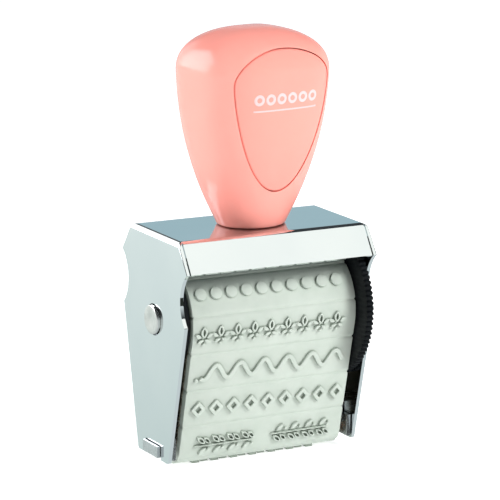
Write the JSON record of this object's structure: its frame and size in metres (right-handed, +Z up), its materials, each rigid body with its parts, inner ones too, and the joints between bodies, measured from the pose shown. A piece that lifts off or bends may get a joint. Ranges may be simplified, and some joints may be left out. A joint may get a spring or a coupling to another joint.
{
  "type": "rotary band stamp",
  "caption": "Hand stamp with a folded chromed housing, a wide rotary rubber band of border patterns turned by a side thumb wheel, a print bar at its foot and a pear-shaped pink handle.",
  "frame": {"origin": "centre of the flat print face at the foot, which is the lowest point", "axes": "+Z up towards the handle, +X along the axle towards the thumb wheel, -Y the front"},
  "size_m": [0.06, 0.0418, 0.1186],
  "materials": {
    "chrome": "polished chrome plate on folded sheet steel",
    "handle_plastic": "glossy pink moulding",
    "inlay_plastic": "satin lighter pink",
    "brass": "turned",
    "zinc_steel": "bright zinc plated",
    "bright_steel": "turned and polished",
    "spring_steel": "dark oiled",
    "band_rubber": "pale grey-green moulded rubber with raised border patterns",
    "lining_fabric": "woven belt lining",
    "pressed_steel": "pressed bright steel",
    "sponge_rubber": "sponge",
    "grey_plastic": "moulded",
    "grip_rubber": "matt",
    "black_plastic": "moulded, fine-toothed rim"
  },
  "bodies": {
    "frame": {"frame_housing": "chrome", "handle_body": "handle_plastic", "handle_front_inlay": "inlay_plastic", "handle_back_inlay": "inlay_plastic", "threaded_insert": "brass", "handle_screw": "zinc_steel", "plain_washer": "zinc_steel", "lock_washer": "spring_steel", "locating_pin": "bright_steel", "pattern_band": "band_rubber", "band_lining": "lining_fabric", "print_bar": "pressed_steel", "print_cushion": "sponge_rubber"},
    "roller": {"axle_shaft": "bright_steel", "drive_pin": "zinc_steel", "retaining_ring_left": "spring_steel", "retaining_ring_right": "spring_steel", "drum_core": "grey_plastic", "drum_sleeve": "grip_rubber", "left_flange": "grey_plastic", "thumb_wheel": "black_plastic"}
  },
  "joints": [
    {"name": "wheel_spin", "type": "hinge", "parent": "frame", "child": "roller", "pos_m": [0, 0, 0.0408], "axis": [1, 0, 0], "continuous": true}
  ]
}
